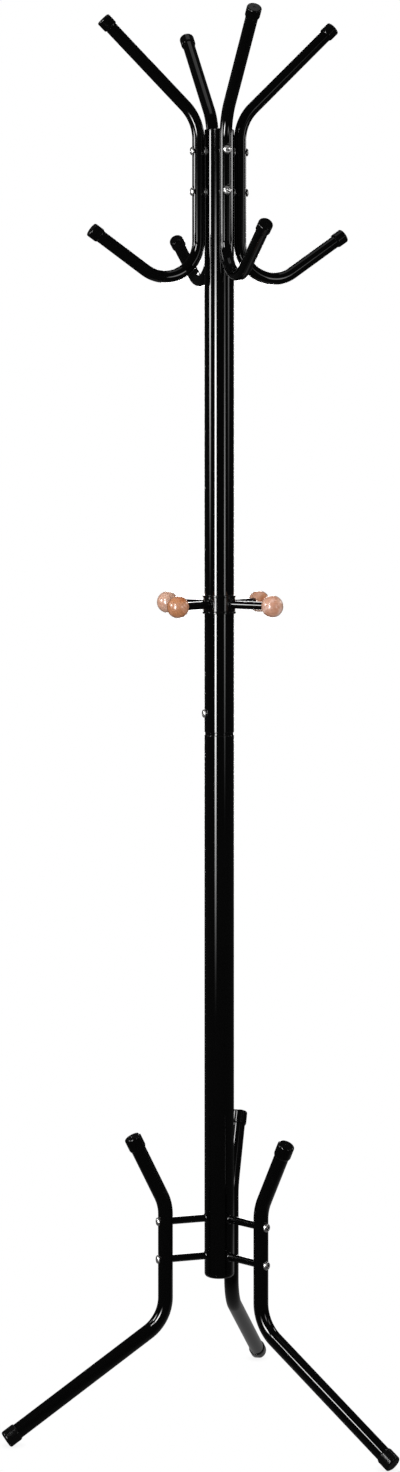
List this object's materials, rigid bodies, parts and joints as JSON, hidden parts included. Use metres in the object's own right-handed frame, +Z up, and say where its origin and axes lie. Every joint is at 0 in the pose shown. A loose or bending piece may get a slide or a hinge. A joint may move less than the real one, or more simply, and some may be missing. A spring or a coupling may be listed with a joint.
{
  "type": "standing coat rack",
  "caption": "Standing coat rack: a sectional steel pole on bent splayed legs, with double-ended bent hooks at the top and turned wooden knobs half way up.",
  "frame": {"origin": "on the floor, on the pole's axis", "axes": "+Z up along the pole; hooks point along +X, +Y, -X and -Y; one leg points along -X"},
  "size_m": [0.4645, 0.5027, 1.8035],
  "materials": {
    "black_paint": "gloss black enamel",
    "black_plastic": "satin black moulded plastic",
    "foot_rubber": "black moulded rubber",
    "bright_steel": "bright nickel plated",
    "zinc_steel": "bright zinc plated",
    "lacquered_wood": "turned hardwood with clear gloss lacquer"
  },
  "bodies": {
    "root": {"foot_cap_1": "foot_rubber", "foot_cap_2": "foot_rubber", "foot_cap_3": "foot_rubber", "hook_lower_cap_1": "black_plastic", "hook_lower_cap_2": "black_plastic", "hook_lower_cap_3": "black_plastic", "hook_lower_cap_4": "black_plastic", "hook_rivet_nuts": "zinc_steel", "hook_screws": "bright_steel", "hook_tube_1": "black_paint", "hook_tube_2": "black_paint", "hook_tube_3": "black_paint", "hook_tube_4": "black_paint", "hook_upper_cap_1": "black_plastic", "hook_upper_cap_2": "black_plastic", "hook_upper_cap_3": "black_plastic", "hook_upper_cap_4": "black_plastic", "joint_screw": "bright_steel", "joint_weld_nut": "zinc_steel", "knob_arm_1": "black_paint", "knob_arm_2": "black_paint", "knob_arm_3": "black_paint", "knob_arm_4": "black_paint", "knob_ball_1": "lacquered_wood", "knob_ball_2": "lacquered_wood", "knob_ball_3": "lacquered_wood", "knob_ball_4": "lacquered_wood", "knob_collar": "black_plastic", "knob_weld_nuts": "zinc_steel", "leg_lower_strut_1": "black_paint", "leg_lower_strut_2": "black_paint", "leg_lower_strut_3": "black_paint", "leg_screws": "bright_steel", "leg_top_cap_1": "black_plastic", "leg_top_cap_2": "black_plastic", "leg_top_cap_3": "black_plastic", "leg_tube_1": "black_paint", "leg_tube_2": "black_paint", "leg_tube_3": "black_paint", "leg_upper_strut_1": "black_paint", "leg_upper_strut_2": "black_paint", "leg_upper_strut_3": "black_paint", "lower_pole": "black_paint", "pole_bottom_plug": "black_plastic", "pole_joint_sleeve": "black_paint", "pole_top_plug": "black_plastic", "upper_pole": "black_paint"}
  },
  "joints": []
}
